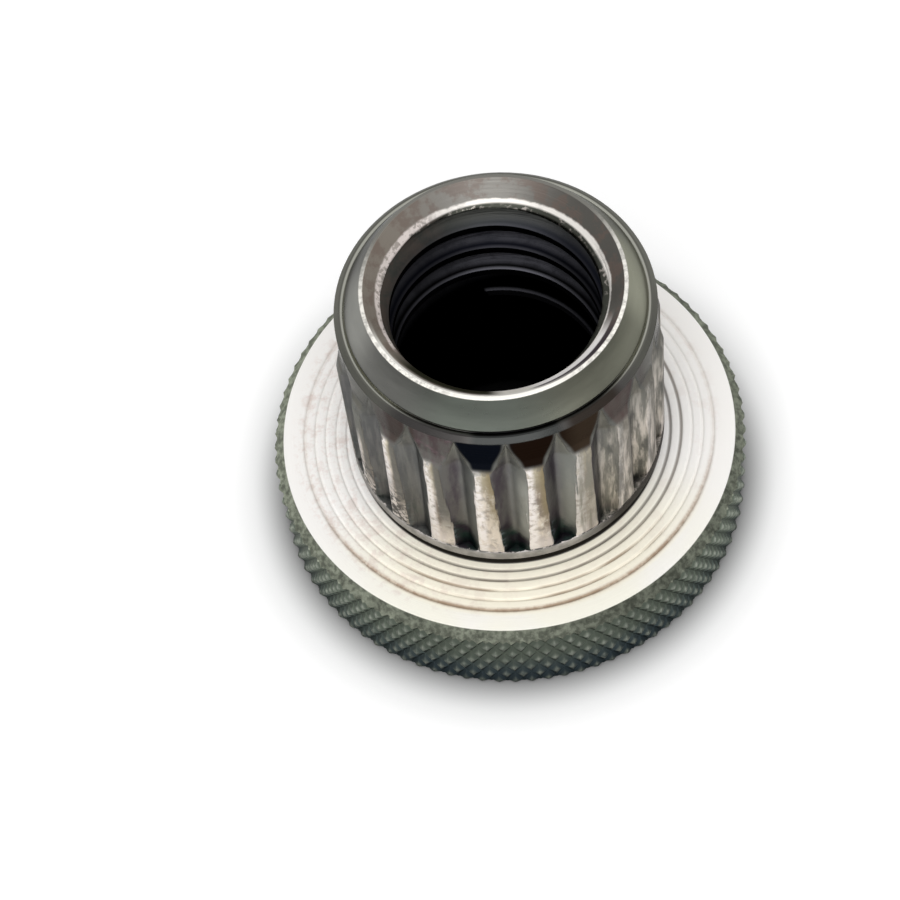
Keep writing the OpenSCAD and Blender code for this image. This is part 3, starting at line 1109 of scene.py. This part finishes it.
def add_key(scene):
    """A soft square lamp that points at the insert."""
    data = bpy.data.lights.new("key", "AREA")
    data.size = KEY_SIZE
    data.energy = KEY_POWER
    lamp = bpy.data.objects.new("key", data)
    lamp.location = KEY_PLACE
    lamp.rotation_mode = "QUATERNION"
    lamp.rotation_quaternion = Vector(KEY_PLACE).to_track_quat("Z", "Y")
    scene.collection.objects.link(lamp)


def add_world(scene, studio):
    """A plain sky, darker towards the horizon."""
    world = bpy.data.worlds.new("studio")
    paint = Paint(world)
    height = paint.parts(paint.node("ShaderNodeTexCoord"))[2]
    low = paint.mix(height.ramp(0.0, 0.6), studio.horizon, studio.sky)
    back = paint.node("ShaderNodeBackground", None, {"Color": low, "Strength": 1.0})
    paint.node("ShaderNodeOutputWorld", None, {"Surface": back})
    scene.world = world


class INSERT_OT_stage(bpy.types.Operator):
    """Make the floor, the lamps, the sky and the camera"""
    bl_idname = "insert.stage"
    bl_label = "Stage"

    def execute(self, context):
        scene = context.scene
        studio = scene.insert_studio
        mesh = bpy.data.meshes.new("floor")
        corners = [(x * FLOOR_HALF, y * FLOOR_HALF, 0) for x, y in ((-1, -1), (1, -1), (1, 1), (-1, 1))]
        mesh.from_pydata(corners, [], [(0, 1, 2, 3)])
        mesh.materials.append(floor_material(studio.floor, studio.floor_glow))
        floor = bpy.data.objects.new("floor", mesh)
        scene.collection.objects.link(floor)
        add_world(scene, studio)
        add_key(scene)
        add_camera(scene, studio, scene.insert_sizes.flange_h)
        scene.view_settings.view_transform = "Standard"
        return {"FINISHED"}


class INSERT_PT_panel(bpy.types.Panel):
    """Lists the insert's operators and sizes"""
    bl_idname = "INSERT_PT_panel"
    bl_label = "Threaded insert"
    bl_space_type = "VIEW_3D"
    bl_region_type = "UI"
    bl_category = "Insert"

    def draw(self, context):
        column = self.layout.column()
        column.operator(INSERT_OT_metal.bl_idname)
        column.operator(INSERT_OT_stage.bl_idname)
        for group in (context.scene.insert_sizes, context.scene.insert_finish, context.scene.insert_studio):
            for key in group.__annotations__:
                column.prop(group, key)


GROUPS = {"insert_sizes": InsertSizes, "insert_finish": InsertFinish, "insert_studio": InsertStudio}
CLASSES = [*GROUPS.values(), INSERT_OT_metal, INSERT_OT_stage, INSERT_PT_panel]


def register():
    for kind in CLASSES:
        bpy.utils.register_class(kind)
    for name, kind in GROUPS.items():
        setattr(bpy.types.Scene, name, bpy.props.PointerProperty(type=kind))


def unregister():
    for name in GROUPS:
        delattr(bpy.types.Scene, name)
    for kind in reversed(CLASSES):
        bpy.utils.unregister_class(kind)


def main():
    register()
    bpy.ops.insert.metal()
    bpy.ops.insert.stage()


if __name__ == "__main__":
    main()
